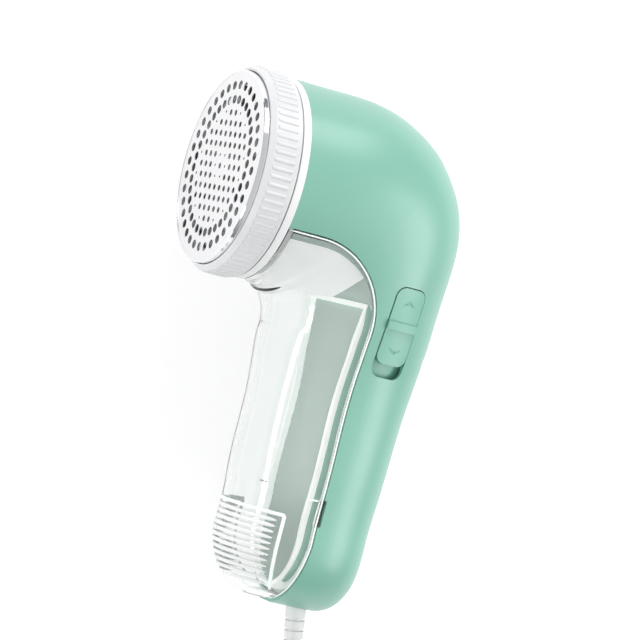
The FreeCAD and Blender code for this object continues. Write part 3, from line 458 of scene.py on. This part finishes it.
def helix(name, node, wire, turns, slot, body, along):
    """A spring in place of a node's stacked rings: a helix between the ends of the node's box."""
    low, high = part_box(node)
    middle, size = (low + high) / 2, high - low
    index = {"x": 0, "y": 1, "z": 2}[along]
    radius = (size[(index + 1) % 3] / 2 - wire)
    start, length = low[index] + wire, size[index] - 2 * wire
    points = []
    steps = turns * 12
    for step in range(steps + 1):
        share = step / steps
        turn = 2 * math.pi * turns * share
        pitch = min(max((share - 1 / turns) / (1 - 2 / turns), 0.0), 1.0)
        point = Vector(middle)
        point[index] = start + length * (0.06 * share + 0.94 * pitch)
        point[(index + 1) % 3] += radius * math.cos(turn)
        point[(index + 2) % 3] += radius * math.sin(turn)
        points.append(point)
    spring = spline(name, points, wire, slot, body, 2, 3)
    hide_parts(node)


helix("blade_spring", "hub_spring", 0.3 * MM, 6, "spring_steel", "rotor", "x")
helix("plunger_spring", "lockout_spring", 0.26 * MM, 9, "spring_steel", "root", "x")

# ---------------------------------------------------------------- fine detail laid on the CAD surfaces

def probe(skin, start, way):
    """Where a line from start meets a surface, and the normal there, or None."""
    hit, normal, _, _ = skin.ray_cast(start, way)
    return None if hit is None else (hit, normal)


OUTSIDE = 60.0    # a distance from the middle that is outside every surface


def above(skin, x, y, side):
    """The point of a surface over (x, y) of the drawing, from the switch's side (1) or the other (-1)."""
    return probe(skin, laid(x, y, OUTSIDE * side), laid_way(0, 0, -side))


SUNK = 0.15 * MM


def bead(spots, half, height, taper=0.0, steps=12):
    """A raised line along (point, normal) spots, half round, sunk a little into the surface."""
    rings, last = [], len(spots) - 1
    for index, (point, normal) in enumerate(spots):
        ahead = spots[min(index + 1, last)][0] - spots[max(index - 1, 0)][0]
        side = normal.cross(ahead).normalized()
        near_end = min(index, last - index) / last
        share = math.sqrt(min(1.0, 0.05 + near_end / taper)) if taper else 1.0
        rings.append([point + side * half * share * math.cos(turn)
                      + normal * (height * share * math.sin(turn) if math.sin(turn) > 0 else -SUNK)
                      for turn in (2 * math.pi * step / steps for step in range(steps))])
    return lofted(rings)


# the grip's highest and lowest rib, its reach in degrees each way round the bin, and the axis it goes round
GRIP_TOP, GRIP_BOTTOM, GRIP_RIBS = -101.4, -121.6, 12
GRIP_REACH = 57.0
GRIP_AXIS_X = 54.2
bin_skin = surface_of("lint_bin")


def grip_spot(y, degrees):
    """The point of the bin at one height, so many degrees round from its front."""
    turn = math.radians(degrees)
    out = laid_way(-math.cos(turn), 0, math.sin(turn))
    return probe(bin_skin, laid(GRIP_AXIS_X, y, 0) + out * OUTSIDE * MM, -out)


def round_front(y, reach, steps=48):
    """Spots across the bin's front at one height, as far round as reach degrees each way."""
    spots = [grip_spot(y, reach * (2 * step / steps - 1)) for step in range(steps + 1)]
    return [spot for spot in spots if spot]


def bin_grip():
    """Raised ribs round the front of the bin's foot, inside a raised border that is pale as a painted
    highlight.
    """
    pitch = (GRIP_TOP - GRIP_BOTTOM) / (GRIP_RIBS - 1)
    ribs = [bead(round_front(GRIP_TOP - pitch * rib, GRIP_REACH - 4.0), 0.66 * MM, 0.26 * MM, 0.08)
            for rib in range(GRIP_RIBS)]
    piece("bin_grip_ribs", *combined(ribs), "clear_plastic", "bin", finish=FROSTED)
    top, reach = GRIP_TOP + pitch * 1.1, GRIP_REACH + 1.0
    long = GRIP_TOP - GRIP_BOTTOM + pitch * 1.8
    border = [bead(round_front(top, reach), 0.6 * MM, 0.45 * MM)]
    for side in (-1, 1):
        edge = [grip_spot(top - long * step / 30, side * reach) for step in range(31)]
        border.append(bead([spot for spot in edge if spot], 0.6 * MM, 0.45 * MM))
    piece("bin_grip_border", *combined(border), "clear_plastic", "bin", finish=PAINTED_HIGHLIGHT_EDGE)


# the seam between the clear bin and the shell: straight under the head, round the bend, then down the handle
SEAM_Y, SEAM_X, SEAM_ARC = -13.5, 53.4, 26.0
SEAM_START = 16.4
SEAM_LEAN, LEAN_START, LEAN_END = 1.8, -107.0, -128.0
FACING = 0.12    # the least that a spot's normal may turn to the side for the rim to run over it


def seam_line(shift):
    """Points along the seam in the drawing, moved into the bin by shift millimetres."""
    hub = (SEAM_X - SEAM_ARC, SEAM_Y - SEAM_ARC)
    points = [(SEAM_START + (hub[0] - SEAM_START) * step / 8, SEAM_Y - shift) for step in range(8)]
    radius = SEAM_ARC - shift
    for step in range(25):
        turn = math.pi / 2 * step / 24
        points.append((hub[0] + radius * math.sin(turn), hub[1] + radius * math.cos(turn)))
    steps = 60
    for step in range(1, steps + 1):
        y = hub[1] + (LEAN_END - hub[1]) * step / steps
        lean = max(0.0, (LEAN_START - y) / (LEAN_START - LEAN_END))
        points.append((SEAM_X - shift - SEAM_LEAN * lean, y))
    return points


def bin_rim():
    """The moulded edge of the clear bin along the seam, pale as a painted highlight."""
    shapes = []
    for side in (-1, 1):
        spots = [above(bin_skin, x, y, side) for x, y in seam_line(0.75)]
        spots = [spot for spot in spots if spot and spot[1].dot(laid_way(0, 0, side)) > FACING]
        shapes.append(bead(spots, 0.26 * MM, 0.13 * MM, 0.02))
    piece("bin_rim", *combined(shapes), "clear_plastic", "bin", finish=PAINTED_HIGHLIGHT_EDGE)


FOOT_WIDE = 2.3
ON_FLANK = 0.5


def seal_foot():
    """The green edge at the foot of the seal's flanks, between the seal, brightened by painted light, and the
    seam; the edge itself has a faint painted glow.
    """
    seal_skin = surface_of("bin_seal")
    shapes = []
    for side in (-1, 1):
        spots = [above(seal_skin, x, y, side) for x, y in seam_line(FOOT_WIDE / 2 + 0.1)]
        spots = [spot for spot in spots if spot and abs(spot[1].dot(laid_way(0, 0, 1))) > ON_FLANK]
        shapes.append(bead(spots, FOOT_WIDE / 2 * MM, 0.06 * MM, 0.03))
    piece("seal_foot", *combined(shapes), "mint_panel", "root", finish=TINTED_EDGE)


CATCH_LINE_X, CATCH_LINE_Y, CATCH_LINE_LONG = 47.6, -92.6, 4.6


def catch_lines():
    """The thin moulded line that runs to each catch across the bin's edge, pale as a painted highlight."""
    shapes = []
    for side in (-1, 1):
        spots = [above(bin_skin, CATCH_LINE_X + CATCH_LINE_LONG * step / 8, CATCH_LINE_Y, side)
                 for step in range(9)]
        shapes.append(bead([spot for spot in spots if spot], 0.28 * MM, 0.14 * MM, 0.1))
    piece("bin_catch_lines", *combined(shapes), "clear_plastic", "bin", finish=PAINTED_HIGHLIGHT_EDGE)


SWITCH_X, SWITCH_TOP, SWITCH_LOW = 62.4, -27.6, -41.2


def switch_marks():
    """Moulded marks on the slider: a chevron that points each way, and a short bar inside each."""
    skin = surface_of("switch_slider")
    shapes = []
    for middle, way in ((SWITCH_TOP, 1), (SWITCH_LOW, -1)):
        for reach in (2.3, 1.2):
            tip = middle + way * (0.6 + reach * 0.5)
            for side in (-1, 1):
                spots = [above(skin, SWITCH_X + side * reach * share, tip - way * reach * 0.8 * share, 1)
                         for share in (step / 6 for step in range(7))]
                shapes.append(bead([spot for spot in spots if spot], 0.22 * MM, 0.16 * MM, 0.15))
    piece("switch_marks", *combined(shapes), "mint_switch", "slider")


bin_grip()
bin_rim()
seal_foot()
catch_lines()
switch_marks()

# ---------------------------------------------------------------- table, camera and light

# the camera looks from 24 degrees to the foil's side of the switch, and is rolled by 14.5 degrees
EYE = laid_way(-0.407, 0, 0.9134)
UP = laid_way(-0.25 * 0.914, 0.968, -0.25 * 0.407)
RIGHT = laid_way(0.968 * 0.914, 0.25, 0.968 * 0.407)
PICTURE_WIDE = 201.6 * MM
LENS, SENSOR = 200.0, 36.0
# the picture's middle, across and up from where the cord leaves the handle
CORD_MOUTH = laid(62.7, -128.0, 0)
aim = CORD_MOUTH + RIGHT.normalized() * 7.56 * MM + UP.normalized() * 90.7 * MM
distance = PICTURE_WIDE * LENS / SENSOR
camera_data = bpy.data.cameras.new("camera")
camera_data.lens, camera_data.sensor_width = LENS, SENSOR
camera = bpy.data.objects.new("camera", camera_data)
bpy.context.scene.collection.objects.link(camera)
back = EYE.normalized()
right = UP.normalized().cross(back).normalized()
up = back.cross(right)
camera.matrix_world = Matrix((
    (right.x, up.x, back.x, aim.x + back.x * distance),
    (right.y, up.y, back.y, aim.y + back.y * distance),
    (right.z, up.z, back.z, aim.z + back.z * distance),
    (0, 0, 0, 1)))
bpy.context.scene.camera = camera


TABLE_GLOW = 0.76    # the table is lit from below, as a photographer's light table is


def table():
    """A white table top, a hair below the floor that the shaver lies on."""
    size, fall = 3.0, -0.0002
    mesh = bpy.data.meshes.new("table")
    mesh.from_pydata([(-size, -size, fall), (size, -size, fall), (size, size, fall), (-size, size, fall)],
                     [], [(0, 1, 2, 3)])
    obj = bpy.data.objects.new("table", mesh)
    bpy.context.scene.collection.objects.link(obj)
    material, tree, shader = new_material("white_table")
    shader.inputs["Roughness"].default_value = 0.9
    shader.inputs["Specular IOR Level"].default_value = 0.1
    shader.inputs["Emission Color"].default_value = (1, 1, 1, 1)
    shader.inputs["Emission Strength"].default_value = TABLE_GLOW
    tree.links.new(ramp(tree, noise(tree, 3.0), (0.30, 0.30, 0.30, 1), (0.32, 0.32, 0.32, 1)),
                   shader.inputs["Base Color"])
    mesh.materials.append(material)


LIT_POINT = Vector((0, -0.02, 0.03))
SKY_STRENGTH = 0.64


def soft_light(name, at, wide, tall, power):
    """A soft box of this width and height that faces the object."""
    lamp = bpy.data.lights.new(name, "AREA")
    lamp.shape, lamp.size, lamp.size_y, lamp.energy = "RECTANGLE", wide, tall, power
    obj = bpy.data.objects.new(name, lamp)
    bpy.context.scene.collection.objects.link(obj)
    obj.location = at
    obj.rotation_mode = "QUATERNION"
    obj.rotation_quaternion = (LIT_POINT - Vector(at)).to_track_quat("-Z", "Y")


def surroundings():
    """A pale tent: white overhead, darker towards the horizon."""
    world = bpy.data.worlds.new("tent")
    bpy.context.scene.world = world
    world.use_nodes = True
    tree = world.node_tree
    coordinates = tree.nodes.new("ShaderNodeTexCoord")
    split = tree.nodes.new("ShaderNodeSeparateXYZ")
    tree.links.new(coordinates.outputs["Generated"], split.inputs["Vector"])
    tree.links.new(ramp(tree, split.outputs["Z"], (0.30, 0.31, 0.32, 1), (1, 1, 1, 1), 0.0, 0.5),
                   tree.nodes["Background"].inputs["Color"])
    tree.nodes["Background"].inputs["Strength"].default_value = SKY_STRENGTH


table()
soft_light("head_window", (0.05, 0.85, 0.5), 0.7, 0.5, 6.0)
soft_light("side_strip", (0.50, -0.06, 0.40), 0.6, 0.26, 2.4)
soft_light("left_strip", (-0.8, -0.25, 0.32), 0.7, 0.09, 4.0)
surroundings()
bpy.context.scene.view_settings.view_transform = "Standard"
